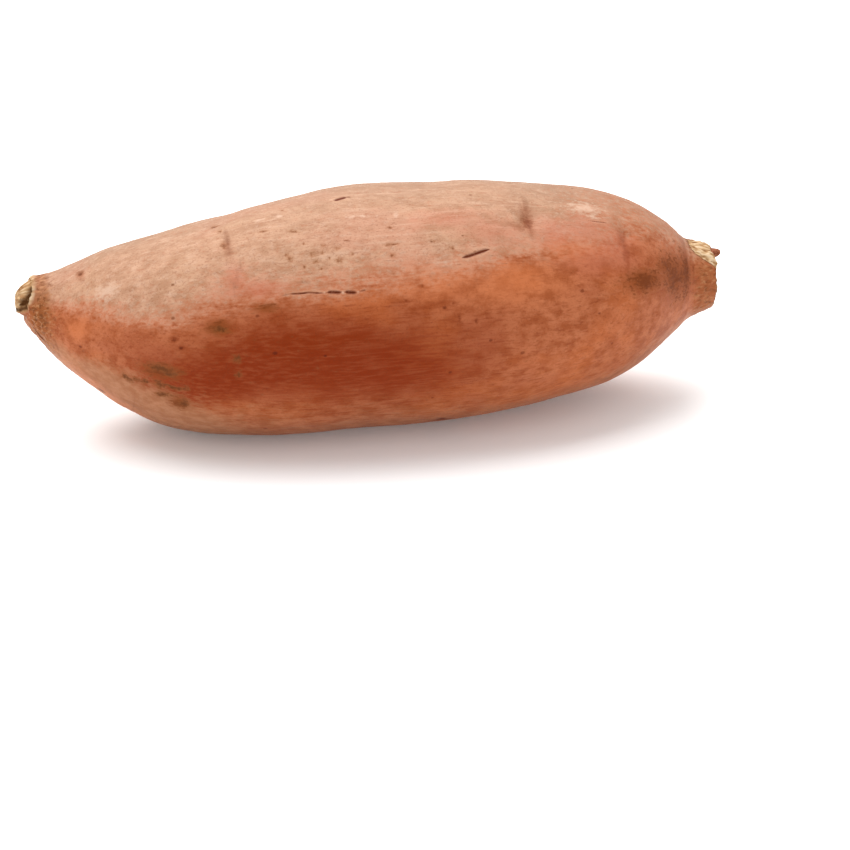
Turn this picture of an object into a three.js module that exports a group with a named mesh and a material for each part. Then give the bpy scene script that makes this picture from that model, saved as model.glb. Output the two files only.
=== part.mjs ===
// A whole sweet potato: one swollen storage root, lying on its belly as it was picked.
// It is a single body. Its thin end is the broken root tip, and its thick end is the neck that it hung from.
// Millimetres, +Z up. X runs along the root from the tip (-X) to the neck (+X), and +Y is its far side.
// The origin is on the surface that it lies on, under the middle of its bounding box.
import * as THREE from "three";

// Sections of the root, hand-set from tip to neck. Each is an ellipse square to X, with along counted from the
// skin's rim at the tip, aside and height the ellipse's centre, and wide and tall its two half-axes.
const SECTIONS = [
  { along: 0, aside: 8.0, height: 37.3, wide: 5.4, tall: 5.9 },
  { along: 5, aside: 6.5, height: 35.2, wide: 9.2, tall: 9.4 },
  { along: 14, aside: 4.0, height: 31.8, wide: 15.4, tall: 16.4 },
  { along: 26, aside: 1.5, height: 29.3, wide: 21.8, tall: 23.4 },
  { along: 42, aside: 0.0, height: 28.8, wide: 27.8, tall: 28.2 },
  { along: 64, aside: -0.8, height: 30.1, wide: 31.6, tall: 30.9 },
  { along: 92, aside: 0.0, height: 31.8, wide: 33.6, tall: 32.4 },
  { along: 120, aside: 1.2, height: 31.9, wide: 33.2, tall: 32.1 },
  { along: 140, aside: 2.6, height: 31.3, wide: 30.8, tall: 29.9 },
  { along: 156, aside: 4.0, height: 31.2, wide: 27.0, tall: 26.8 },
  { along: 167, aside: 5.4, height: 31.4, wide: 21.8, tall: 22.0 },
  { along: 175, aside: 6.6, height: 31.4, wide: 16.0, tall: 16.2 },
  { along: 181, aside: 7.0, height: 31.0, wide: 11.4, tall: 11.6 },
  { along: 188, aside: 7.6, height: 30.6, wide: 8.8, tall: 9.0 },
];
const RINGS_PER_SECTION = 4.6; // rings of vertices between two sections, on average
const SEGMENTS = 72; // vertices round a ring
const LENGTH = SECTIONS.at(-1).along;

// The rim at the tip leans: its top is set back along the root by this share of its height over the centre.
const TIP_LEAN = 0.28;
const TIP_LEAN_REACH = 22;

// The scab over the broken root tip, from the skin's rim inwards. share is of the rim's size, out is along -X.
const TIP_SCAB = [
  { share: 0.86, out: -0.9 },
  { share: 0.74, out: 0.7 },
  { share: 0.5, out: 2.0 },
  { share: 0.25, out: 2.6 },
  { share: 0, out: 2.7 },
];
const TIP_SCAB_LUMPS = { height: 0.5, round: 5 };

// The torn face of the neck, from the skin's rim inwards, out along +X.
const NECK_FACE = [
  { share: 0.88, out: 0.8 },
  { share: 0.66, out: 0.5 },
  { share: 0.4, out: -0.5 },
  { share: 0.2, out: -0.7 },
  { share: 0, out: -0.6 },
];
const NECK_FACE_LUMPS = { height: 0.5, round: 4 };
const FINER_LUMPS = 4; // a face's second set of lumps has this many more of them round it

// The stub of the stem, a small knob that stands out of the upper edge of the neck's torn face.
const STEM_STUB = { angle: 100, spread: 17, out: 3.1, share: 0.76, shareSpread: 0.2 };

// The side of the neck where skin was torn off with the stem: it runs in from the end.
const NECK_TEAR = { from: 180, angle: 106, spread: 30, depth: 0.9, fade: 5 };

// Slow swellings of the whole root: each is a wave along it and round it.
const SWELLINGS = [
  { height: 0.5, wavesAlong: 1.7, wavesRound: 2, phase: 0.7 },
  { height: 0.35, wavesAlong: 2.9, wavesRound: 3, phase: 2.9 },
  { height: 0.15, wavesAlong: 5.2, wavesRound: 1, phase: 4.4 },
];
const SWELLING_FADE = 0.6; // the swellings die out towards both ends, faster with a higher power

// Rings where the skin is drawn in, each over part of the way round. Angles are in degrees from +Y over the top.
const CREASES = [
  { along: 52, angle: 108, depth: 0.8, width: 3.2, spread: 58 },
  { along: 26, angle: 250, depth: 0.5, width: 3.0, spread: 50 },
  { along: 84, angle: 330, depth: 0.6, width: 3.6, spread: 55 },
  { along: 112, angle: 20, depth: 0.5, width: 3.4, spread: 48 },
  { along: 139, angle: 300, depth: 0.6, width: 3.2, spread: 60 },
  { along: 160, angle: 132, depth: 0.7, width: 2.6, spread: 36 },
  { along: 180.5, angle: 105, depth: 0.9, width: 1.8, spread: 120 },
];

// Shallow furrows that run along the root, as on a root that has swelled unevenly.
const FURROWS = [
  { angle: 205, depth: 0.5, width: 9, from: 58, to: 132 },
  { angle: 332, depth: 1.1, width: 12, from: 30, to: 150 },
  { angle: 38, depth: 0.9, width: 11, from: 50, to: 166 },
  { angle: 286, depth: 0.6, width: 10, from: 70, to: 168 },
];
const FURROW_FADE = 14; // how far past its ends a furrow dies out

// Eyes: the dimples where a side root grew.
const EYES = [
  { along: 132, angle: 114, depth: 1.5, size: 3.4 },
  { along: 160, angle: 126, depth: 0.9, size: 2.6 },
  { along: 50, angle: 95, depth: 0.8, size: 2.8 },
  { along: 14, angle: 101, depth: 0.5, size: 2.2 },
  { along: 35, angle: 196, depth: 0.9, size: 3.2 },
  { along: 49, angle: 160, depth: 0.6, size: 3.0 },
  { along: 98, angle: 52, depth: 1.0, size: 3.2 },
  { along: 66, angle: 8, depth: 1.1, size: 3.2 },
  { along: 121, angle: 344, depth: 1.2, size: 3.4 },
  { along: 151, angle: 40, depth: 0.8, size: 2.8 },
  { along: 88, angle: 302, depth: 1.0, size: 3.0 },
  { along: 36, angle: 318, depth: 0.9, size: 3.0 },
  { along: 108, angle: 236, depth: 0.9, size: 3.0 },
];

const REST_DEPTH = 0.9; // how far the belly is flattened where it lies

const { clamp, degToRad, euclideanModulo, smoothstep } = THREE.MathUtils;
const bell = (distance, width) => Math.exp(-((distance / width) ** 2));
const turnBetween = (a, b) => euclideanModulo(a - b + 180, 360) - 180;

// A smooth curve through one point for each section.
const throughSections = (toPoint) => new THREE.CatmullRomCurve3(SECTIONS.map(toPoint), false, "catmullrom", 0.5);
const spine = throughSections((s) => new THREE.Vector3(s.along, s.aside, s.height));
const girth = throughSections((s) => new THREE.Vector3(s.wide, s.tall, 0));

// How far the skin stands out from its ellipse at a place on the root, in mm.
function skinRelief(along, angle, halfAxis) {
  const share = clamp(along / LENGTH, 0, 1);
  const fade = Math.sin(Math.PI * share) ** SWELLING_FADE;
  let out = 0;
  for (const w of SWELLINGS) {
    const wave = Math.sin(2 * Math.PI * w.wavesAlong * share + w.wavesRound * degToRad(angle) + w.phase);
    out += w.height * fade * wave;
  }
  for (const c of CREASES) {
    out -= c.depth * bell(along - c.along, c.width) * bell(turnBetween(angle, c.angle), c.spread);
  }
  for (const f of FURROWS) {
    const begun = smoothstep(along, f.from - FURROW_FADE, f.from + FURROW_FADE);
    const ended = smoothstep(along, f.to - FURROW_FADE, f.to + FURROW_FADE);
    out -= f.depth * begun * (1 - ended) * bell(turnBetween(angle, f.angle), f.width);
  }
  for (const e of EYES) {
    const around = degToRad(turnBetween(angle, e.angle)) * halfAxis;
    out -= e.depth * bell(Math.hypot(along - e.along, around), e.size);
  }
  const torn = smoothstep(along, NECK_TEAR.from, NECK_TEAR.from + NECK_TEAR.fade);
  out -= NECK_TEAR.depth * torn * bell(turnBetween(angle, NECK_TEAR.angle), NECK_TEAR.spread);
  return out;
}

// A point of the skin. at runs from 0 at the tip's rim to 1 at the neck's rim.
function skinPoint(at, angle) {
  const centre = spine.getPoint(at);
  const axes = girth.getPoint(at);
  const out = skinRelief(centre.x, angle, axes.x);
  const up = (axes.y + out) * Math.sin(degToRad(angle));
  const lean = TIP_LEAN * (1 - smoothstep(centre.x, 0, TIP_LEAN_REACH));
  return new THREE.Vector3(
    centre.x + lean * up,
    centre.y + (axes.x + out) * Math.cos(degToRad(angle)),
    centre.z + up,
  );
}

// A point of an end's face: the rim drawn in to a share of its size, and pushed out along the root.
function facePoint(at, angle, ring, lumps) {
  const centre = spine.getPoint(at);
  const point = skinPoint(at, angle).sub(centre).multiplyScalar(ring.share).add(centre);
  const turn = degToRad(angle);
  const lump = (Math.sin(lumps.round * turn) + Math.cos((lumps.round + FINER_LUMPS) * turn)) / 2;
  const room = 4 * ring.share * (1 - ring.share); // none at the rim and at the middle
  point.x += Math.sign(at - 0.5) * (ring.out + lumps.height * room * lump);
  return point;
}

function tipPoint(angle, ring) {
  return facePoint(0, angle, ring, TIP_SCAB_LUMPS);
}

function neckPoint(angle, ring) {
  const point = facePoint(1, angle, ring, NECK_FACE_LUMPS);
  const across = bell(turnBetween(angle, STEM_STUB.angle), STEM_STUB.spread);
  point.x += STEM_STUB.out * across * bell(ring.share - STEM_STUB.share, STEM_STUB.shareSpread);
  return point;
}

// The root as one lathe whose rings are then moved to their places: first the scab, then the skin, then the torn
// neck. The lathe's own profile only numbers the rings, and touches the axis at both ends.
function rootGeometry() {
  const skinRings = Math.round((SECTIONS.length - 1) * RINGS_PER_SECTION);
  const places = [
    ...TIP_SCAB.toReversed().map((ring) => (angle) => tipPoint(angle, ring)),
    ...Array.from({ length: skinRings + 1 }, (_, i) => (angle) => skinPoint(i / skinRings, angle)),
    ...NECK_FACE.map((ring) => (angle) => neckPoint(angle, ring)),
  ];
  const last = places.length - 1;
  const profile = places.map((_, i) => new THREE.Vector2(i === 0 || i === last ? 0 : 1, i));
  const geometry = new THREE.LatheGeometry(profile, SEGMENTS);
  const position = geometry.attributes.position;
  for (let i = 0; i < position.count; i += 1) {
    const ring = i % places.length;
    const angle = (360 * (Math.floor(i / places.length) % SEGMENTS)) / SEGMENTS;
    const point = places[ring](angle);
    position.setXYZ(i, point.x, point.y, point.z);
  }
  return geometry;
}

// Lays the root down: the belly meets the surface and is flattened a little there, and the box is centred.
function layDown(geometry) {
  geometry.computeBoundingBox();
  const { min, max } = geometry.boundingBox;
  geometry.translate(-(min.x + max.x) / 2, -(min.y + max.y) / 2, -min.z - REST_DEPTH);
  const position = geometry.attributes.position;
  for (let i = 0; i < position.count; i += 1) {
    position.setZ(i, Math.max(position.getZ(i), 0));
  }
  geometry.computeVertexNormals();
  return geometry;
}

const skin = new THREE.MeshStandardMaterial({ color: 0xc27a55, roughness: 0.62, metalness: 0 });

const sweetPotato = new THREE.Mesh(layDown(rootGeometry()), skin);
sweetPotato.name = "sweet_potato";

const part = new THREE.Group();
part.add(sweetPotato);
export default part;
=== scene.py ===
import math
import random

import bmesh
import bpy
import numpy as np
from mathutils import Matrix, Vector, noise
from mathutils.bvhtree import BVHTree
from mathutils.kdtree import KDTree


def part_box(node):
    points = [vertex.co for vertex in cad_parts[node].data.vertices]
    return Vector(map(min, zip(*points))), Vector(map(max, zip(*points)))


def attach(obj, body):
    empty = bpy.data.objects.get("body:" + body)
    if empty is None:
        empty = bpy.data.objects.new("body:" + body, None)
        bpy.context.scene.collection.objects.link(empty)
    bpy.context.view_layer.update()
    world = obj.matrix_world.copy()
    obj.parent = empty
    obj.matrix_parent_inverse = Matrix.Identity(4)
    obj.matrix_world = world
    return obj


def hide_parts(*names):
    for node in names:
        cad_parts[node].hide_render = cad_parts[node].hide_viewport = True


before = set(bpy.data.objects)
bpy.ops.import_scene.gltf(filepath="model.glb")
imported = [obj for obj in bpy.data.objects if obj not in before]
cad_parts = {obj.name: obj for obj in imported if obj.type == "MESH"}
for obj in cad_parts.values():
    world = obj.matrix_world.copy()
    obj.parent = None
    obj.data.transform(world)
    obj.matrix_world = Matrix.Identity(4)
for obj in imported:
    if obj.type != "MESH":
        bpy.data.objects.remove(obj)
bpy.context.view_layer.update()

# The view: from above the near side and a little towards the tip, through a long lens.
MM = 0.001
VIEW_AZIMUTH = math.radians(-10)
VIEW_ELEVATION = math.radians(25)
VIEW_DISTANCE = 900 * MM
VIEW_TARGET = Vector((11.0, -11.0, 0.0)) * MM
LENS = 140

camera_data = bpy.data.cameras.new("camera")
camera_data.lens = LENS
camera_data.sensor_width = 36
camera_data.clip_start = 0.05
camera_data.clip_end = 20
camera = bpy.data.objects.new("camera", camera_data)
bpy.context.scene.collection.objects.link(camera)
to_camera = Vector((
    math.sin(VIEW_AZIMUTH) * math.cos(VIEW_ELEVATION),
    -math.cos(VIEW_AZIMUTH) * math.cos(VIEW_ELEVATION),
    math.sin(VIEW_ELEVATION),
))
camera.location = VIEW_TARGET + to_camera * VIEW_DISTANCE
camera.rotation_euler = to_camera.to_track_quat("Z", "Y").to_euler()
bpy.context.scene.camera = camera

# The surface that the root lies on, a plain white sweep with a faint glow that keeps its shadows pale, and
# the light: one wide softbox overhead and a little behind, in an evenly bright room.
FLOOR_SIZE = 8.0
FLOOR_WHITE = 0.9
FLOOR_GLOW = 0.1
ROOM_LIGHT = 0.82
SOFTBOX = {"size": 1.8, "depth": 1.4, "power": 29.0, "place": (-0.2, 0.5, 1.15)}

floor_shape = bmesh.new()
bmesh.ops.create_grid(floor_shape, x_segments=1, y_segments=1, size=FLOOR_SIZE / 2)
floor_mesh = bpy.data.meshes.new("floor")
floor_shape.to_mesh(floor_mesh)
floor_shape.free()
floor = bpy.data.objects.new("floor", floor_mesh)
bpy.context.scene.collection.objects.link(floor)

sweep = bpy.data.materials.new("white_sweep")
sweep.use_nodes = True
sweep_shader = sweep.node_tree.nodes["Principled BSDF"]
sweep_shader.inputs["Base Color"].default_value = (FLOOR_WHITE, FLOOR_WHITE, FLOOR_WHITE, 1)
sweep_shader.inputs["Roughness"].default_value = 0.9
sweep_shader.inputs["Specular IOR Level"].default_value = 0.1
sweep_shader.inputs["Emission Color"].default_value = (1, 1, 1, 1)
sweep_shader.inputs["Emission Strength"].default_value = FLOOR_GLOW
floor_mesh.materials.append(sweep)

softbox_data = bpy.data.lights.new("softbox", "AREA")
softbox_data.shape = "RECTANGLE"
softbox_data.size = SOFTBOX["size"]
softbox_data.size_y = SOFTBOX["depth"]
softbox_data.energy = SOFTBOX["power"]
softbox = bpy.data.objects.new("softbox", softbox_data)
softbox.location = SOFTBOX["place"]
softbox.rotation_euler = Vector(SOFTBOX["place"]).to_track_quat("Z", "Y").to_euler()
bpy.context.scene.collection.objects.link(softbox)

room = bpy.data.worlds.new("room")
room.use_nodes = True
room.node_tree.nodes["Background"].inputs["Color"].default_value = (1, 1, 1, 1)
room.node_tree.nodes["Background"].inputs["Strength"].default_value = ROOM_LIGHT
bpy.context.scene.world = room
bpy.context.scene.view_settings.view_transform = "Standard"

# The root's fine mesh: a copy of the built root, its triangles joined back into quads and smoothed twice, so
# that an edge is under 0.8 mm. It keeps the root's size and its flat spot.
NODE = "sweet_potato"
SCAB_REACH = 3.2  # how far the scab stands out past the skin's rim at the tip, mm
MERGE_DISTANCE = 0.001 * MM
SMOOTHING = 2
low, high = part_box(NODE)
tip_rim = low.x / MM + SCAB_REACH

coarse = bmesh.new()
coarse.from_mesh(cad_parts[NODE].data)
bmesh.ops.remove_doubles(coarse, verts=coarse.verts, dist=MERGE_DISTANCE)
bmesh.ops.join_triangles(
    coarse,
    faces=coarse.faces,
    angle_face_threshold=math.radians(50),
    angle_shape_threshold=math.radians(80),
)
root_mesh = bpy.data.meshes.new("root")
coarse.to_mesh(root_mesh)
coarse.free()
root = bpy.data.objects.new("root_and_skin", root_mesh)
bpy.context.scene.collection.objects.link(root)
smoothing = root.modifiers.new("smoothing", "SUBSURF")
smoothing.levels = SMOOTHING
smoothing.render_levels = SMOOTHING
smooth_root = root.evaluated_get(bpy.context.evaluated_depsgraph_get())
fine_mesh = bpy.data.meshes.new_from_object(smooth_root)
root.modifiers.clear()
root.data = fine_mesh
bpy.data.meshes.remove(root_mesh)

# Where things are on the root: along is in mm from the skin's rim at the tip, and angle is in degrees round
# the line of centres, from the far side (0) over the top (90) to the near side (180) and the belly (270).
STATION_STEP = 4
SLICE = 3.5  # half the thickness of the slice whose middle is found, mm
NECK_RIM = 188
INSIDE_TIP = 8  # from here inside the root the tip's broken face is looked for, mm from its rim

cad_points = np.array([v.co[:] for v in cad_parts[NODE].data.vertices]) / MM
stations = np.arange(0, NECK_RIM + 1, STATION_STEP, dtype=float)
centres = []
for station in stations:
    ring = cad_points[np.abs(cad_points[:, 0] - tip_rim - station) < SLICE]
    centres.append((ring.min(axis=0) + ring.max(axis=0))[1:] / 2)
centres = np.array(centres)
skin_tree = BVHTree.FromPolygons(
    [v.co for v in fine_mesh.vertices],
    [p.vertices for p in fine_mesh.polygons],
)


def where(points):
    """along, angle and distance from the line of centres, for points in mm."""
    along = points[:, 0] - tip_rim
    side = points[:, 1] - np.interp(along, stations, centres[:, 0])
    height = points[:, 2] - np.interp(along, stations, centres[:, 1])
    return along, np.degrees(np.arctan2(height, side)) % 360, np.hypot(side, height)


def on_skin(along, angle):
    """The point of the skin there, and its directions along the root and round it, in mm."""
    centre = Vector((
        along + tip_rim,
        np.interp(along, stations, centres[:, 0]),
        np.interp(along, stations, centres[:, 1]),
    ))
    turn = math.radians(angle)
    point, outward, _, _ = skin_tree.ray_cast(centre * MM, Vector((0, math.cos(turn), math.sin(turn))))
    lengthwise = (Vector((1, 0, 0)) - outward * outward.x).normalized()
    return point / MM, lengthwise, outward.cross(lengthwise)


def on_tip(side, height):
    """The point of the tip's broken face at a side (Y) and a height (Z), in mm."""
    inside = Vector((tip_rim + INSIDE_TIP, side, height))
    return skin_tree.ray_cast(inside * MM, Vector((-1, 0, 0)))[0] / MM


# The marks on the skin. Each is its along and angle, its half-length along the root and round it in mm, and
# how far it is turned, in degrees. Those on the near side and the top are where the real root has them.
PORES = [
    (14, 101, 1.0, 1.0, 0),
    (50.9, 100, 0.6, 0.8, 0),
    (51.2, 113, 0.9, 1.3, 0),
    (49.9, 93, 1.3, 0.5, 12),
    (61.7, 109, 1.3, 0.35, 0),
    (69.4, 112, 1.3, 0.4, -20),
    (67.8, 93, 0.5, 0.5, 0),
    (66.8, 126, 0.5, 0.8, 20),
    (67.5, 128.5, 0.6, 0.8, 0),
    (73.4, 128, 0.45, 1.0, 0),
    (71.5, 121, 0.4, 0.4, 0),
    (76.5, 124, 0.4, 0.7, 0),
    (77.5, 131, 0.4, 0.5, 0),
    (80.3, 126, 0.5, 0.6, 0),
    (80.3, 133, 0.6, 0.7, 0),
    (83.7, 130, 0.4, 0.6, 0),
    (94.7, 118, 0.7, 0.5, 0),
    (93.5, 128, 0.8, 0.5, 0),
    (95.8, 128, 0.6, 0.25, 0),
    (94.2, 134, 0.6, 0.6, 0),
    (110.2, 133, 0.5, 0.5, 0),
    (118, 166, 0.35, 1.2, 0),
    (110.2, 166, 0.35, 1.1, 0),
    (115, 168, 0.4, 0.7, 0),
    (3.6, 166, 1.0, 1.3, 0),
    (101, 150, 0.7, 0.4, 0),
    (36.0, 162, 1.2, 0.7, 0),
    (37.8, 167, 0.7, 0.6, 0),
    (76.0, 127.6, 0.45, 0.5, 0),
    (74.2, 132, 0.5, 0.6, 0),
    (75.2, 136, 0.5, 0.4, 0),
    (71.0, 134, 0.4, 0.5, 0),
    (93.7, 143, 0.4, 0.6, 0),
    (96.6, 156, 0.6, 0.4, 0),
    (105.3, 129, 0.7, 0.4, -20),
    (109.1, 159, 0.5, 0.4, 0),
]
BRUISES = [
    (48.0, 158.4, 2.0, 0.8, -8),
    (32.5, 181, 3.8, 1.1, -6),
    (34.8, 184, 1.8, 0.7, 10),
    (23.4, 196, 1.0, 1.0, 0),
    (24.7, 197, 0.8, 0.9, 0),
    (26.2, 194.5, 0.7, 0.7, 0),
    (28.1, 193.5, 1.1, 0.9, 30),
    (32.2, 193, 1.7, 1.1, -25),
    (35.0, 194, 1.4, 0.6, -20),
    (37.0, 194.5, 1.4, 0.6, 18),
    (38.7, 193.5, 0.9, 0.9, 0),
    (32.9, 201, 2.2, 0.8, 8),
    (38.2, 206, 1.2, 1.6, 0),
    (51.9, 175, 0.9, 1.2, 0),
    (52.0, 184, 0.9, 0.9, 0),
    (17.7, 237, 1.1, 0.9, 0),
]
SOIL_STAINS = [
    (174.5, 156, 6.0, 5.2, 0),
    (164, 156, 7.0, 2.8, 0),
    (163, 152, 4.0, 0.8, 0),
    (178.2, 154, 2.4, 6.0, 0),
    (171.5, 147, 4.0, 2.6, 0),
    (60, 151.5, 3.0, 1.0, -6),
    (48, 157.5, 3.0, 1.7, -8),
    (32.5, 183, 5.0, 2.0, 0),
    (37, 205, 2.4, 2.2, 0),
    (2.8, 160, 2.4, 4.2, 0),
]
# Pale scars in the skin; some of them are painted highlights, the glints on the top and on the neck.
SCARS_AND_GLINTS = [
    (61.4, 99, 1.5, 0.6, 0),
    (66.5, 99, 1.4, 0.9, 0),
    (149.5, 107, 4.6, 2.4, 0),
    (151, 114, 2.6, 0.6, -6),
    (94.8, 109, 0.4, 1.2, 10),
    (97.4, 110, 0.4, 1.5, -14),
    (88, 108, 4.0, 0.5, 0),
    (108, 140, 3.0, 0.5, -8),
    (75.6, 148, 0.3, 0.5, 0),
    (80.2, 149, 0.3, 0.5, 0),
    (84.2, 149.6, 0.3, 0.5, 0),
    (20, 129, 3.2, 2.4, 0),
]
EYES = [
    (132.0, 118.8, 1.5, 2.2, 0),
    (98, 52, 1.3, 1.7, 0),
    (66, 8, 1.3, 1.6, 0),
    (121, 344, 1.4, 1.8, 0),
    (151, 40, 1.2, 1.5, 0),
    (88, 302, 1.3, 1.6, 0),
    (36, 318, 1.2, 1.5, 0),
    (108, 236, 1.3, 1.6, 0),
]
SMEARS = [
    (14.1, 104, 1.0, 2.4, 0),
    (132.4, 112, 1.5, 3.8, 0),
    (129.2, 123, 2.8, 1.5, -25),
    (132.6, 126, 1.2, 2.2, 0),
    (158.3, 128, 1.4, 2.8, 0),
    (158.9, 138, 1.0, 4.4, 0),
    (178.8, 122, 1.2, 4.0, 0),
    (52.0, 116, 1.2, 3.6, 0),
    (98.3, 58, 1.5, 3.4, 0),
    (66, 13, 1.4, 3.4, 0),
    (121.2, 350, 1.5, 3.8, 0),
    (88, 307, 1.4, 3.2, 0),
    (108.2, 240, 1.4, 3.4, 0),
]
ORANGE_FLUSHES = [
    (12, 165, 3.6, 2.6, 0),
    (106, 147, 9.0, 5.0, 0),
    (124, 152, 14.0, 5.0, 0),
    (142, 134, 8.0, 4.0, 0),
]
ROSE_FLUSHES = [
    (156, 136, 7.0, 6.0, 0),
    (150, 143, 9.0, 4.0, 0),
    (140, 126, 7.0, 5.0, 0),
    (53, 134, 2.6, 4.0, 0),
    (111, 116, 9.0, 3.6, 0),
    (148, 122, 8.0, 5.0, 0),
    (121, 125, 8.0, 5.0, 0),
    (58, 142, 7.0, 2.0, 0),
]
# The sides that the view doesn't show have marks of the same kinds, placed by seeded draws.
HIDDEN_ANGLES = (238, 430)
HIDDEN_ALONG = (12, 176)
HIDDEN_SHARES = (
    (PORES, 46),
    (BRUISES, 18),
    (SOIL_STAINS, 9),
    (SCARS_AND_GLINTS, 14),
    (ORANGE_FLUSHES, 10),
    (ROSE_FLUSHES, 8),
)
random.seed(7)
for marks, count in HIDDEN_SHARES:
    for _ in range(count):
        _, _, half_long, half_round, _ = random.choice(marks)
        growth = random.uniform(0.7, 1.2)
        place = random.uniform(*HIDDEN_ALONG), random.uniform(*HIDDEN_ANGLES) % 360
        marks.append((*place, half_long * growth, half_round * growth, random.uniform(-30, 30)))

# Cracks and scratches in the skin: from one along and angle to another, the half-width and the depth in mm,
# and how dark the inside is. The line wanders a little, as dry skin splits.
CUTS = [
    ((64.1, 147), (66.5, 146.4), 0.15, 0.05, 0.4),
    ((66.0, 146.3), (74.9, 148), 0.24, 0.2, 1.0),
    ((76.3, 148.1), (79.7, 148.9), 0.42, 0.3, 1.0),
    ((80.9, 149), (83.6, 149.8), 0.46, 0.3, 1.0),
    ((84.6, 149.4), (86.2, 149), 0.2, 0.15, 0.7),
    ((112.5, 138.4), (120.0, 135.7), 0.45, 0.25, 1.0),
    ((105.6, 140.2), (112.0, 138.6), 0.14, 0.1, 0.45),
    ((82.1, 92), (85.3, 90), 0.6, 0.2, 1.0),
    ((149.6, 117), (155.0, 118.2), 0.17, 0.12, 0.8),
    ((132.1, 118), (132.8, 106), 0.4, 0.12, 0.12),
    ((132.3, 120), (132.9, 129), 0.3, 0.14, 0.2),
    ((159.4, 122), (158.9, 131), 0.4, 0.16, 0.2),
    ((158.9, 131), (157.7, 146), 0.3, 0.1, 0.12),
    ((181.4, 96), (179.9, 150), 0.45, 0.2, 0.12),
    ((52.6, 96), (52.2, 124), 0.18, 0.14, 0.35),
    ((54.2, 98), (53.8, 121), 0.16, 0.12, 0.3),
    ((1.2, 206), (3.6, 222), 0.36, 0.25, 0.9),
    ((69.0, 142), (71.3, 142), 0.2, 0.06, 0.4),
    ((70, 262), (81, 266), 0.24, 0.25, 0.9),
    ((118, 318), (127, 322), 0.3, 0.3, 0.9),
    ((58, 30), (66, 27), 0.24, 0.25, 0.8),
    ((141, 48), (146, 51), 0.34, 0.25, 0.9),
    ((96, 352), (107, 349), 0.2, 0.2, 0.8),
    ((98.2, 50), (98.8, 68), 0.3, 0.16, 0.2),
    ((66.2, 4), (65.6, 22), 0.3, 0.16, 0.2),
    ((121, 340), (121.4, 360), 0.3, 0.16, 0.2),
    ((88, 298), (87.6, 314), 0.3, 0.16, 0.2),
    ((108, 230), (108.6, 246), 0.3, 0.16, 0.2),
]
CUT_STEP = 0.35
CUT_WANDER = 0.15  # mm
USUAL_RADIUS = 30  # of the root, to turn millimetres round it into degrees

# Cracks across the tip's broken face, through sides and heights in mm, with the same three values after them.
TIP_CRACKS = [
    (((4.6, 41.6), (3.4, 40.2), (3.0, 38.6), (4.4, 36.8)), 1.05, 0.7, 1.0),
    (((3.4, 38.2), (3.0, 36.6), (4.6, 35.4), (7.5, 34.6)), 0.55, 0.5, 0.9),
    (((9.5, 41.4), (10.6, 39.2), (9.8, 36.8)), 0.4, 0.4, 0.6),
]


def cut_path(start, end):
    """Points on the skin along a cut, in mm, a step apart."""
    length = (on_skin(*end)[0] - on_skin(*start)[0]).length
    steps = max(4, round(length / CUT_STEP))
    path = []
    for share in np.linspace(0, 1, steps + 1):
        along = start[0] + (end[0] - start[0]) * share
        angle = start[1] + (end[1] - start[1]) * share
        drift = CUT_WANDER * noise.noise(Vector((along / 2, angle / 5, 3)))
        path.append(on_skin(along + drift, angle + math.degrees(drift / USUAL_RADIUS))[0])
    return path


def tip_path(corners):
    """Points on the tip's broken face from corner to corner, in mm, a step apart."""
    path = []
    for (side_a, height_a), (side_b, height_b) in zip(corners, corners[1:]):
        steps = max(2, round(math.hypot(side_b - side_a, height_b - height_a) / CUT_STEP))
        for share in np.linspace(0, 1, steps, endpoint=False):
            path.append(on_tip(side_a + (side_b - side_a) * share, height_a + (height_b - height_a) * share))
    return path


cuts = [(cut_path(start, end), *rest) for start, end, *rest in CUTS]
cuts += [(tip_path(corners), *rest) for corners, *rest in TIP_CRACKS]


def refine(shape, places, reach):
    """Splits the faces near some places once, so that small relief fits there. Places and reach are in mm."""
    tree = KDTree(len(places))
    for i, place in enumerate(places):
        tree.insert(place * MM, i)
    tree.balance()
    near = [f for f in shape.faces if tree.find(f.calc_center_median())[2] < reach * MM]
    edges = list({edge for face in near for edge in face.edges})
    bmesh.ops.subdivide_edges(shape, edges=edges, cuts=1, use_grid_fill=True)


SMALL_MARK = 0.7  # a mark with a half-width under this gets finer faces, mm
SHARP_CUT = 0.5  # and so does a cut at least this dark
NEAR_MARK = 1.0  # mm
NEAR_CUT = 0.5  # mm
small_marks = [on_skin(*mark[:2])[0] for mark in PORES + BRUISES if min(mark[2:4]) < SMALL_MARK]
cut_places = [point for path, _, _, dark in cuts if dark >= SHARP_CUT for point in path]
fine = bmesh.new()
fine.from_mesh(fine_mesh)
refine(fine, small_marks + cut_places, NEAR_MARK)
refine(fine, cut_places, NEAR_CUT)
fine.to_mesh(fine_mesh)
fine.free()

# The layers of marks, from 0 to 1 on the mesh's points. The relief is made from them, and the skin's colours.
points = np.array([v.co[:] for v in fine_mesh.vertices]) / MM
normals = np.array([v.normal[:] for v in fine_mesh.vertices])
along, angle, radius = where(points)
point_tree = KDTree(len(points))
for i, point in enumerate(points):
    point_tree.insert(point, i)
point_tree.balance()


def bell(distance, width):
    return np.exp(-((distance / width) ** 2))


def ease(values, start, end):
    """0 before start, 1 after end, and a smooth step between them."""
    share = np.clip((values - start) / (end - start), 0, 1)
    return share * share * (3 - 2 * share)


def turn_between(a, b):
    return (a - b + 180) % 360 - 180


def waves(lengths, seed):
    """Smooth noise from -1 to 1 at every point. Its grain is lengths, in mm along X, Y and Z."""
    return np.array([noise.noise(q) for q in points / np.array(lengths) + seed])


def rays(side, height, turns):
    """Noise from -1 to 1 that runs out from an end's middle, for its fibres. More turns make them finer."""
    turn = np.arctan2(height, side)
    places = np.stack([turns * np.cos(turn), turns * np.sin(turn), 1.6 * np.hypot(side, height)], axis=1)
    return np.array([noise.noise(place) for place in places])


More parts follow.
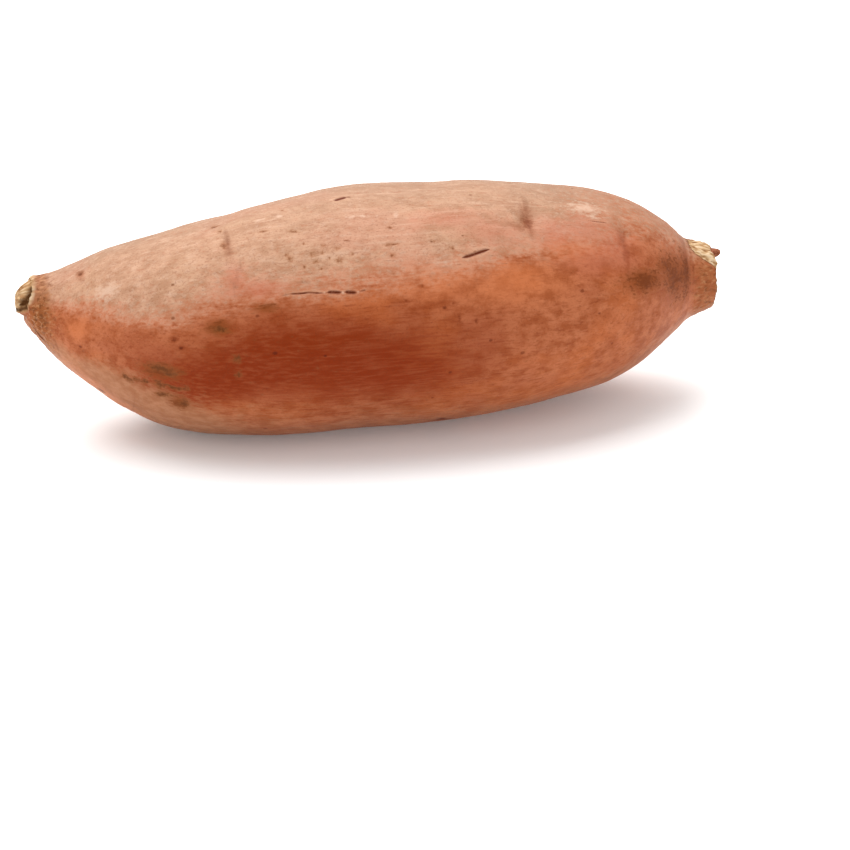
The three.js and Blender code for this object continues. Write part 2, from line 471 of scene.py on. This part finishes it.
OVAL_REACH = 2.2  # of an oval's longer half, within which its points are looked for
CUT_REACH = 1.6  # and the same for a cut, mm


def oval_layer(marks):
    """1 in the middle of each oval mark, 0.5 at its rim, and 0 at twice its size."""
    layer = np.zeros(len(points))
    for along_at, angle_at, half_long, half_round, turn in marks:
        centre, lengthwise, crosswise = on_skin(along_at, angle_at)
        cos, sin = math.cos(math.radians(turn)), math.sin(math.radians(turn))
        for place, i, _ in point_tree.find_range(centre, OVAL_REACH * max(half_long, half_round)):
            offset = place - centre
            u, v = offset.dot(lengthwise), offset.dot(crosswise)
            distance = math.hypot((u * cos + v * sin) / half_long, (v * cos - u * sin) / half_round)
            layer[i] = max(layer[i], 1 - distance / 2)
    return layer


def cut_layers():
    """How dark each cut's inside is, its depth in mm, and the pale lips beside it."""
    inside, depth, lips = np.zeros(len(points)), np.zeros(len(points)), np.zeros(len(points))
    for path, half_width, deepest, dark in cuts:
        for step, place in enumerate(path):
            share = step / (len(path) - 1)
            taper = min(1, 0.35 + 4 * min(share, 1 - share))
            half = half_width * taper
            for _, i, distance in point_tree.find_range(place, CUT_REACH):
                inside[i] = max(inside[i], dark * min(1, max(0, 1.5 - distance / half)))
                depth[i] = max(depth[i], deepest * taper * math.exp(-((distance / half) ** 2)))
                lips[i] = max(lips[i], dark * taper * math.exp(-(((distance - 2 * half) / 0.3) ** 2)))
    return inside, depth, lips


pores = oval_layer(PORES)
bruises = oval_layer(BRUISES)
stains = oval_layer(SOIL_STAINS)
scars_and_glints = oval_layer(SCARS_AND_GLINTS)
eyes = oval_layer(EYES)
smears = oval_layer(SMEARS)
orange = oval_layer(ORANGE_FLUSHES)
rose = oval_layer(ROSE_FLUSHES)
cut_inside, cut_depth, cut_lips = cut_layers()

# Rings where the skin is drawn in: fine wrinkles beside each other, over part of the way round. Each ring is
# its along and angle, its half-width in mm and its reach in degrees.
RINGS = [
    (53, 112, 4.5, 42),
    (26, 250, 4.0, 50),
    (84, 330, 4.5, 50),
    (112, 20, 4.5, 45),
    (132, 115, 4.0, 22),
    (139, 300, 4.0, 55),
    (159, 135, 3.5, 26),
    (180, 110, 3.0, 120),
]
rings = np.zeros(len(points))
for along_at, angle_at, half_width, reach in RINGS:
    near_ring = bell(along - along_at, half_width) * bell(turn_between(angle, angle_at), reach)
    rings = np.maximum(rings, near_ring)
wrinkle_waves = waves((0.9, 9, 9), 6)
wrinkles = rings * ease(wrinkle_waves, 0.0, 0.5)

# The broken tip: a fibrous, corky scab that stands out of the upper part of its face, with cracks across it.
# Below it the skin runs on, brown and scuffed, to the rim.
SCAB_MIDDLE = (7.0, 38.9)
SCAB_HALF = (6.0, 4.9)
TIP_LEAN = 0.28  # how far the rim at the tip is set back along the root, per mm of height over its middle
TIP_MIDDLE_HEIGHT = 37.4
FIBRE_TURNS = 4.4
scab_side = (points[:, 1] - SCAB_MIDDLE[0]) / SCAB_HALF[0]
scab_height = (points[:, 2] - SCAB_MIDDLE[1]) / SCAB_HALF[1]
scab_share = np.hypot(scab_side, scab_height)
past_rim = along - TIP_LEAN * (points[:, 2] - TIP_MIDDLE_HEIGHT)
scab = 1 - ease(scab_share + 0.1 * waves((2.0, 2.0, 2.0), 31), 0.86, 1.02)
scab *= 1 - ease(past_rim + 0.5 * waves((1.2, 1.2, 1.2), 37), 0.6, 1.5)
tip_fibres = 0.8 * rays(scab_side, scab_height, FIBRE_TURNS) * ease(scab_share, 0.05, 0.5)
tip_fibres += 0.4 * waves((1.6, 1.2, 1.2), 45)
end_skin = np.maximum(bell(along - 2.5, 4.5) * (1 - scab), 0.7 * ease(along, 178, 184))

# The torn neck: its end face, and the strip of its upper side where skin came off with the stem. It is dry,
# fibrous flesh, browned at its edge.
NECK_MIDDLE = (6.9, 30.7)
NECK_HALF = (8.8, 9.0)
FACE_TURNS = 5.2
TEAR_START = 181.3
# The strip's two edges: the angle of each where the strip starts, and the degrees that it opens by per mm.
TEAR_NEAR = {"angle": 114, "opens": 4.1}
TEAR_FAR = {"angle": 82, "opens": 4.5}
neck_side = points[:, 1] - NECK_MIDDLE[0]
neck_height = points[:, 2] - NECK_MIDDLE[1]
neck_share = np.hypot(neck_side / NECK_HALF[0], neck_height / NECK_HALF[1])
into_tear = along - TEAR_START
near_edge = TEAR_NEAR["angle"] + TEAR_NEAR["opens"] * into_tear - angle
far_edge = angle - TEAR_FAR["angle"] + TEAR_FAR["opens"] * into_tear
inside_tear = np.minimum(np.minimum(near_edge, far_edge) * math.radians(1) * radius, into_tear)
inside_tear += 0.4 * waves((1.5, 0.9, 0.9), 12)
strip = ease(inside_tear, -0.15, 0.35) * (along > TEAR_START - 2)
end_face = (1 - ease(neck_share + 0.04 * waves((2, 2, 2), 3), 0.93, 1.0)) * ease(along, 186.2, 186.8)
torn = np.maximum(strip, end_face)
strip_edge = bell(inside_tear, 0.5) * (along > TEAR_START - 1) * (1 - end_face)
face_edge = bell(neck_share - 0.97, 0.04) * (along > 186) * (1 - strip)
torn_edge = np.maximum(strip_edge, face_edge)
face_fibres = rays(neck_side / NECK_HALF[0], neck_height / NECK_HALF[1], FACE_TURNS)
face_fibres *= 0.7 * ease(neck_share, 0.1, 0.6)
face_fibres += 0.45 * waves((2.0, 1.5, 1.5), 41) + 0.3 * waves((1.0, 0.6, 0.6), 43)
neck_fibres = np.where(end_face > strip, face_fibres, waves((3.4, 0.8, 0.8), 16))
fibres = np.where(along < NECK_RIM / 2, tip_fibres, neck_fibres)

# The stub of the stem, a reddish knob on the upper edge of the torn neck.
STUB = {"side": 5.6, "height": 38.2, "radius": 1.5, "out": 2.2}
stub_distance = np.hypot(points[:, 1] - STUB["side"], points[:, 2] - STUB["height"])
stub = bell(stub_distance, 2.4) * ease(along, NECK_RIM - 0.6, NECK_RIM)

# The relief, in mm out of the smooth root. It mostly sinks in, so that the root keeps its outer size.
SINK = 0.12
relief = 0.18 * waves((13, 11, 11), 1) + 0.08 * waves((5, 4, 4), 2)
relief += 0.05 * waves((9, 1.5, 1.5), 5) + 0.04 * waves((3.5, 0.9, 0.9), 9) + 0.03 * waves((1.7, 1.7, 1.7), 4)
relief += 0.09 * rings * wrinkle_waves
relief -= 0.14 * ease(pores, 0.3, 0.8) + 0.12 * ease(bruises, 0.3, 0.8) + 0.3 * ease(eyes, 0.3, 0.9)
relief += 0.07 * ease(scars_and_glints, 0.3, 0.6) * (0.6 + 0.8 * waves((0.9, 0.9, 0.9), 8))
relief += 0.07 * cut_lips - cut_depth
relief += scab * (0.7 + 0.22 * tip_fibres + 0.15 * waves((0.9, 0.8, 0.8), 15))
relief += end_skin * 0.3 * waves((1.6, 1.0, 1.0), 19)
relief += torn * (0.18 * neck_fibres + 0.12 * waves((1.2, 0.5, 0.5), 17) - 0.2)
relief += 0.5 * strip * ease(along, 182.5, 187) * ease(inside_tear, 0.5, 2.5)
relief -= SINK

# At both broken ends the relief moves along the root, so that the walls of the grooves don't cross. At the
# tip it is eased before it would leave the root's outer size. Round the stub the torn face is levelled.
SOFT_ROOM = 0.4  # mm
FACE_OUT = 0.5  # how far the torn face stands out past the neck's rim there, mm
LEVELLED = {"out": 0.3, "radius": 4}
FLAT_SPOT = 0.02  # points lower than this are on the flat spot, mm
at_tip = 1 - ease(past_rim, 0.5, 2.0)
at_neck = ease(along, NECK_RIM - 1.2, NECK_RIM)
direction = normals * (1 - at_tip - at_neck)[:, None]
direction[:, 0] += at_neck - at_tip
direction /= np.linalg.norm(direction, axis=1)[:, None]
moved = points + direction * relief[:, None]
round_end = np.sqrt(np.clip(1 - (stub_distance / STUB["radius"]) ** 2, 0, 1))
stub_x = tip_rim + NECK_RIM + FACE_OUT + STUB["out"] * round_end
near_stub = (along > NECK_RIM + LEVELLED["out"]) & (stub_distance < LEVELLED["radius"])
moved[near_stub, 0] = stub_x[near_stub]
cad_low, cad_high = np.array(low) / MM, np.array(high) / MM
room = moved[:, 0] - cad_low[0]
moved[:, 0] = cad_low[0] + np.where(room < SOFT_ROOM, SOFT_ROOM * np.exp(room / SOFT_ROOM - 1), room)
moved = np.clip(moved, cad_low, cad_high)
moved[points[:, 2] < FLAT_SPOT, 2] = 0
fine_mesh.vertices.foreach_set("co", (moved * MM).ravel())
fine_mesh.polygons.foreach_set("use_smooth", [True] * len(fine_mesh.polygons))
fine_mesh.update()

# The skin's ground colours, by how far a place is from the root's upper line: a pale top, partly a dry bloom
# and partly painted light from above, with painted shade along its outline on the far side, coppery skin on
# both flanks with painted shade low on them, deepest on the tip's half of the root, and a paler belly, partly
# dusty skin and partly painted light bounced up from the floor. The pale top ends higher near the neck, and
# reaches lower on the far side. Places round the root are degrees.
UPPER_LINE = 93
BLOOM_AND_LIGHT_MIDDLE = 47
BLOOM_AND_LIGHT_HALF_FADE = 19
FAR_SIDE_SHARE = 0.55  # degrees on the far side count for this much near the top
OUTLINE_SHADE = 55
PAINTED_SHADOW_MIDDLE = 92
BELLY_START = 98
near_side = turn_between(angle, UPPER_LINE)
far_share = FAR_SIDE_SHARE + (1 - FAR_SIDE_SHARE) * ease(-near_side, 80, 170)
from_top = np.where(near_side > 0, near_side, -far_share * near_side)
drift = 7 * waves((24, 16, 16), 21) + 4 * waves((8, 5, 5), 22)
bloom_and_light_middle = BLOOM_AND_LIGHT_MIDDLE + 7 * bell(along - 32, 14) + 4 * bell(along - 112, 14)
bloom_and_light_middle += 3 * bell(along - 78, 12) - 4 * bell(along, 14) - 11 * bell(along - 165, 34)
# Paler towards the top: partly a dry bloom on the skin and partly painted light from above.
bloom_and_top_light = 1 - ease(from_top + drift - bloom_and_light_middle, -BLOOM_AND_LIGHT_HALF_FADE, BLOOM_AND_LIGHT_HALF_FADE)
bloom_and_top_light *= 1 - 0.45 * ease(along, 128, 165)
# A painted shade along the root's upper outline as the view sees it, nearer the top towards the neck.
outline_shade = bell(turn_between(angle, OUTLINE_SHADE + 22 * ease(along, 120, 160)) + drift, 44)
# A painted shadow low on the flanks, full from 46 to 88 mm along the root.
painted_shadow_middle = PAINTED_SHADOW_MIDDLE + 5 * bell(along - 36, 10) - 6 * bell(along - 60, 14)
painted_shadow = bell(from_top + drift - painted_shadow_middle, 25) * ease(along, 10, 46) * (1 - ease(along, 88, 142))
# A paler belly, stronger on the tip's half: partly dusty skin and partly painted light bounced up from the
# floor.
belly_start = BELLY_START - 14 * (1 - ease(along, 20, 50))
belly_and_bounce = ease(from_top + 1.5 * drift - belly_start, 0, 40) * (1 - 0.5 * ease(along, 36, 62))

LAYERS = {
    "bloom_and_top_light": bloom_and_top_light,
    "outline_shade": outline_shade,
    "painted_shadow": painted_shadow,
    "belly_and_bounce": belly_and_bounce,
    "orange": orange * (1 - 0.8 * bloom_and_top_light),
    "rose": rose,
    "pores": pores,
    "bruises": bruises,
    "stains": stains,
    "scars_and_glints": scars_and_glints,
    "eyes": eyes,
    "smears": smears,
    "cuts": cut_inside,
    "lips": cut_lips,
    "wrinkles": wrinkles,
    "scab": scab,
    "end_skin": end_skin,
    "torn": torn,
    "torn_edge": torn_edge,
    "fibres": 0.5 + fibres,
    "stub": stub,
}
for name, values in LAYERS.items():
    stored = fine_mesh.attributes.new(name, "FLOAT", "POINT")
    stored.data.foreach_set("value", np.clip(values, 0, 1).astype(np.float32))


# The skin: thin and dry, copper under a pale top that is partly a dry bloom and partly painted light, with
# painted shade low on its flanks, streaks along the root, fine flecks, pores, brown soil stains, dark bruises
# and cuts, and pale scars of which some are painted highlights. The broken ends are pale fibrous cork with
# dark cracks.
def tone(red, green, blue):
    """A colour as an artist reads it off a chart, 0 to 255, made linear."""
    shares = [value / 255 for value in (red, green, blue)]
    return tuple(s / 12.92 if s <= 0.04045 else ((s + 0.055) / 1.055) ** 2.4 for s in shares) + (1,)


skin = bpy.data.materials.new("copper_skin")
skin.use_nodes = True
skin_nodes = skin.node_tree
shader = skin_nodes.nodes["Principled BSDF"]
object_place = skin_nodes.nodes.new("ShaderNodeTexCoord").outputs["Object"]


def node(kind, inputs, **settings):
    """A new node of the skin. inputs gives a value or another node's socket for each of its sockets."""
    made = skin_nodes.nodes.new("ShaderNode" + kind)
    for name, value in settings.items():
        setattr(made, name, value)
    for name, value in inputs.items():
        if isinstance(value, bpy.types.NodeSocket):
            skin_nodes.links.new(value, made.inputs[name])
        else:
            made.inputs[name].default_value = value
    return made


def stretched(lengths):
    """Object coordinates in which one unit is the given lengths in mm."""
    scale = [1 / (length * MM) for length in lengths]
    return node("Mapping", {"Vector": object_place, "Scale": scale}).outputs["Vector"]


def grain(lengths, detail=2.0, roughness=0.5):
    """Noise from 0 to 1 with a grain of the given lengths in mm."""
    settings = {"Vector": stretched(lengths), "Scale": 1.0, "Detail": detail, "Roughness": roughness}
    return node("TexNoise", settings).outputs["Fac"]


def between(value, start, end, low_value=0.0, high_value=1.0):
    """A smooth step of a value from start to end."""
    inputs = {"Value": value, "From Min": start, "From Max": end, "To Min": low_value, "To Max": high_value}
    return node("MapRange", inputs, interpolation_type="SMOOTHSTEP").outputs["Result"]


def combined(a, b, operation="ADD"):
    return node("Math", {0: a, 1: b}, operation=operation).outputs["Value"]


def swing(noise_value, amount):
    """A noise as a swing about 0, its usual reach about a fifth of the amount."""
    return combined(combined(noise_value, 0.5, "SUBTRACT"), amount, "MULTIPLY")


def layer(name):
    return node("Attribute", {}, attribute_name=name).outputs["Fac"]


def painted(under, colour, mask, blend="MIX"):
    """A colour laid over what is under it, as far as the mask says."""
    made = node("Mix", {"Factor": mask}, data_type="RGBA", blend_type=blend)
    for name, value in (("A", under), ("B", colour)):
        socket = next(s for s in made.inputs if s.name == name and s.type == "RGBA")
        if isinstance(value, bpy.types.NodeSocket):
            skin_nodes.links.new(value, socket)
        else:
            socket.default_value = value
    return next(s for s in made.outputs if s.type == "RGBA")


def stained(under, tint, mask):
    """What is under it, darkened by a tint as far as the mask says."""
    return painted(under, tint, mask, blend="MULTIPLY")


def ragged(name, noise_value, amount, start, end, strength=1.0):
    """A layer's mask, its soft rim cut ragged by a noise."""
    return between(combined(layer(name), swing(noise_value, amount)), start, end, 0.0, strength)


patches = grain((34, 22, 22), detail=3)
other_patches = grain((19, 12, 12), detail=3)
mottle = grain((4.6, 3.2, 3.2), detail=4, roughness=0.62)
streaks = grain((6, 0.7, 0.7), detail=3, roughness=0.6)
long_streaks = grain((15, 1.6, 1.6), detail=3, roughness=0.55)
speckle = grain((0.62, 0.5, 0.5), detail=2, roughness=0.6)
fleck = grain((1.5, 1.1, 1.1), detail=2, roughness=0.6)
crumble = grain((0.8, 0.8, 0.8), detail=3, roughness=0.6)

copper = painted(tone(152, 78, 42), tone(180, 106, 70), between(mottle, 0.34, 0.66))
copper = painted(copper, tone(188, 102, 54), between(patches, 0.52, 0.68, 0, 0.5))
copper = painted(copper, tone(170, 96, 64), between(other_patches, 0.48, 0.34, 0, 0.5))
copper = painted(copper, tone(130, 58, 26), between(streaks, 0.47, 0.3, 0, 0.5))
copper = painted(copper, tone(190, 118, 82), between(long_streaks, 0.54, 0.7, 0, 0.3))
salmon = painted(tone(174, 108, 76), tone(190, 132, 104), between(mottle, 0.34, 0.66))
# Painted shade along the upper outline, on the salmon tone.
salmon = painted(salmon, tone(140, 98, 72), combined(layer("outline_shade"), 0.55, "MULTIPLY"))
dry_and_lit = painted(tone(168, 124, 96), tone(191, 148, 120), between(mottle, 0.34, 0.66))
dry_and_lit = painted(dry_and_lit, tone(190, 134, 110), between(patches, 0.52, 0.36, 0, 0.5))
dry_and_lit = painted(dry_and_lit, tone(184, 144, 112), between(other_patches, 0.54, 0.68, 0, 0.2))
# Painted shade along the upper outline, on the pale top tone.
dry_and_lit = painted(dry_and_lit, tone(138, 113, 93), combined(layer("outline_shade"), 0.75, "MULTIPLY"))
dry_and_lit = painted(dry_and_lit, tone(202, 166, 142), between(long_streaks, 0.52, 0.7, 0, 0.35))
dry_and_lit = painted(dry_and_lit, tone(152, 106, 80), between(streaks, 0.47, 0.3, 0, 0.28))
dry_and_lit = painted(dry_and_lit, tone(204, 170, 148), between(fleck, 0.56, 0.7, 0, 0.38))
dry_and_lit = painted(dry_and_lit, tone(140, 92, 66), between(speckle, 0.47, 0.33, 0, 0.42))
dry_and_lit = painted(dry_and_lit, tone(150, 100, 74), between(fleck, 0.42, 0.3, 0, 0.3))
rim_noise = combined(swing(streaks, 0.7), swing(fleck, 0.9))
rim_noise = combined(rim_noise, between(layer("bloom_and_top_light"), 0.0, 0.3), "MULTIPLY")
bloom_and_light_value = combined(layer("bloom_and_top_light"), rim_noise)
# The painted shadow low on the flanks: a dark, saturated copper.
painted_shadow_mask = combined(between(layer("painted_shadow"), -0.1, 1.0), between(streaks, 0.42, 0.66, 1.0, 0.8), "MULTIPLY")
colour = painted(copper, tone(125, 40, 0), painted_shadow_mask)
colour = painted(colour, tone(104, 42, 14), between(speckle, 0.46, 0.32, 0, 0.25))
# The belly's tan, partly dusty skin and partly painted light bounced up from the floor.
belly_and_bounce_tan = painted(tone(154, 102, 70), tone(170, 120, 88), between(mottle, 0.36, 0.64))
colour = painted(colour, belly_and_bounce_tan, ragged("belly_and_bounce", streaks, 0.9, 0.1, 0.9, 0.85))
# The pale top, partly a dry bloom and partly painted light from above, over a salmon middle tone.
colour = painted(colour, salmon, between(bloom_and_light_value, 0.0, 0.6))
colour = painted(colour, dry_and_lit, between(bloom_and_light_value, 0.3, 1.0))
colour = painted(colour, tone(204, 118, 72), ragged("orange", mottle, 0.8, 0.1, 0.9, 0.45))
colour = painted(colour, tone(178, 98, 74), ragged("rose", mottle, 1.0, 0.1, 1.0, 0.42))

cells = node("TexVoronoi", {"Vector": stretched((5.5, 4.2, 4.2)), "Scale": 1.0, "Randomness": 1.0})
cell_size = node("TexWhiteNoise", {"Vector": cells.outputs["Position"]}).outputs["Value"]
pore_radius = between(cell_size, 0.6, 1.0, 0.0, 0.11)
scattered_pores = between(combined(pore_radius, cells.outputs["Distance"], "SUBTRACT"), -0.05, 0.03)
colour = stained(colour, tone(184, 160, 140), combined(scattered_pores, 0.8, "MULTIPLY"))

smudge = combined(combined(mottle, streaks), 0.5, "MULTIPLY")
colour = stained(colour, tone(222, 200, 186), ragged("smears", fleck, 0.8, 0.1, 1.0, 0.9))
colour = painted(colour, tone(128, 64, 22), ragged("stains", smudge, 2.0, 0.1, 0.8, 0.75))
colour = painted(colour, tone(104, 46, 10), ragged("stains", smudge, 3.4, 0.4, 1.05, 0.8))
colour = stained(colour, tone(200, 180, 166), ragged("wrinkles", fleck, 0.5, 0.3, 0.9, 0.4))
# Pale scars, some of them painted highlights where the skin catches the light.
colour = painted(colour, tone(212, 180, 158), ragged("scars_and_glints", fleck, 1.2, 0.25, 1.0, 0.55))
colour = stained(colour, tone(222, 196, 178), ragged("eyes", fleck, 0.8, 0.0, 0.8, 0.9))
colour = stained(colour, tone(206, 176, 154), ragged("eyes", fleck, 0.9, 0.35, 0.85, 0.9))
colour = painted(colour, tone(128, 72, 36), ragged("bruises", fleck, 1.4, 0.1, 0.75, 0.7))
colour = painted(colour, tone(92, 48, 16), ragged("bruises", crumble, 1.4, 0.42, 0.9, 0.8))
colour = stained(colour, tone(226, 208, 190), ragged("pores", crumble, 0.9, 0.1, 0.7, 0.9))
colour = stained(colour, tone(192, 170, 150), ragged("pores", crumble, 0.9, 0.5, 0.9, 0.9))
colour = painted(colour, tone(206, 158, 128), combined(layer("lips"), 0.2, "MULTIPLY"))

colour = painted(colour, tone(142, 82, 42), ragged("end_skin", mottle, 1.0, 0.25, 1.0, 0.7))
end_flecks = combined(layer("end_skin"), between(fleck, 0.5, 0.34, 0, 0.75), "MULTIPLY")
end_streaks = combined(layer("end_skin"), between(streaks, 0.5, 0.68, 0, 0.6), "MULTIPLY")
colour = painted(colour, tone(102, 56, 26), end_flecks)
colour = painted(colour, tone(190, 138, 96), end_streaks)
cork = painted(tone(156, 117, 80), tone(193, 160, 121), between(layer("fibres"), 0.25, 0.7))
cork = painted(cork, tone(214, 192, 164), between(layer("fibres"), 0.6, 0.9, 0, 0.55))
cork = painted(cork, tone(122, 82, 46), between(fleck, 0.46, 0.33, 0, 0.65))
colour = painted(colour, cork, layer("scab"))
colour = painted(colour, cork, layer("torn"))
edge_mask = combined(layer("torn_edge"), between(fleck, 0.36, 0.56, 0.3, 1.0), "MULTIPLY")
colour = painted(colour, tone(108, 64, 36), between(edge_mask, 0.25, 0.8, 0, 0.85))
knob = painted(tone(112, 58, 36), tone(152, 92, 66), between(crumble, 0.42, 0.58))
colour = painted(colour, knob, between(layer("stub"), 0.3, 0.6))
cut_mask = combined(layer("cuts"), between(crumble, 0.3, 0.5, 0.8, 1.0), "MULTIPLY")
cut_tone = painted(tone(92, 34, 8), tone(74, 42, 14), layer("scab"))
colour = painted(colour, cut_tone, cut_mask)
skin_nodes.links.new(colour, shader.inputs["Base Color"])

ends_mask = combined(layer("scab"), layer("torn"), "MAXIMUM")
roughness = combined(between(bloom_and_light_value, 0.1, 0.85, 0.46, 0.6), swing(speckle, 0.3))
roughness = combined(roughness, combined(ends_mask, 0.35, "MULTIPLY"))
skin_nodes.links.new(roughness, shader.inputs["Roughness"])
shader.inputs["IOR"].default_value = 1.45
shader.inputs["Specular IOR Level"].default_value = 0.1

height = combined(combined(streaks, 0.5, "MULTIPLY"), combined(speckle, 0.5, "MULTIPLY"))
height = combined(height, combined(fleck, 0.3, "MULTIPLY"))
height = combined(height, combined(scattered_pores, -0.4, "MULTIPLY"))
height = combined(height, combined(combined(crumble, ends_mask, "MULTIPLY"), 1.2, "MULTIPLY"))
bump = node("Bump", {"Strength": 0.6, "Distance": 0.22 * MM, "Height": height})
skin_nodes.links.new(bump.outputs["Normal"], shader.inputs["Normal"])
fine_mesh.materials.clear()
fine_mesh.materials.append(skin)

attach(root, "root")
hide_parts(NODE)
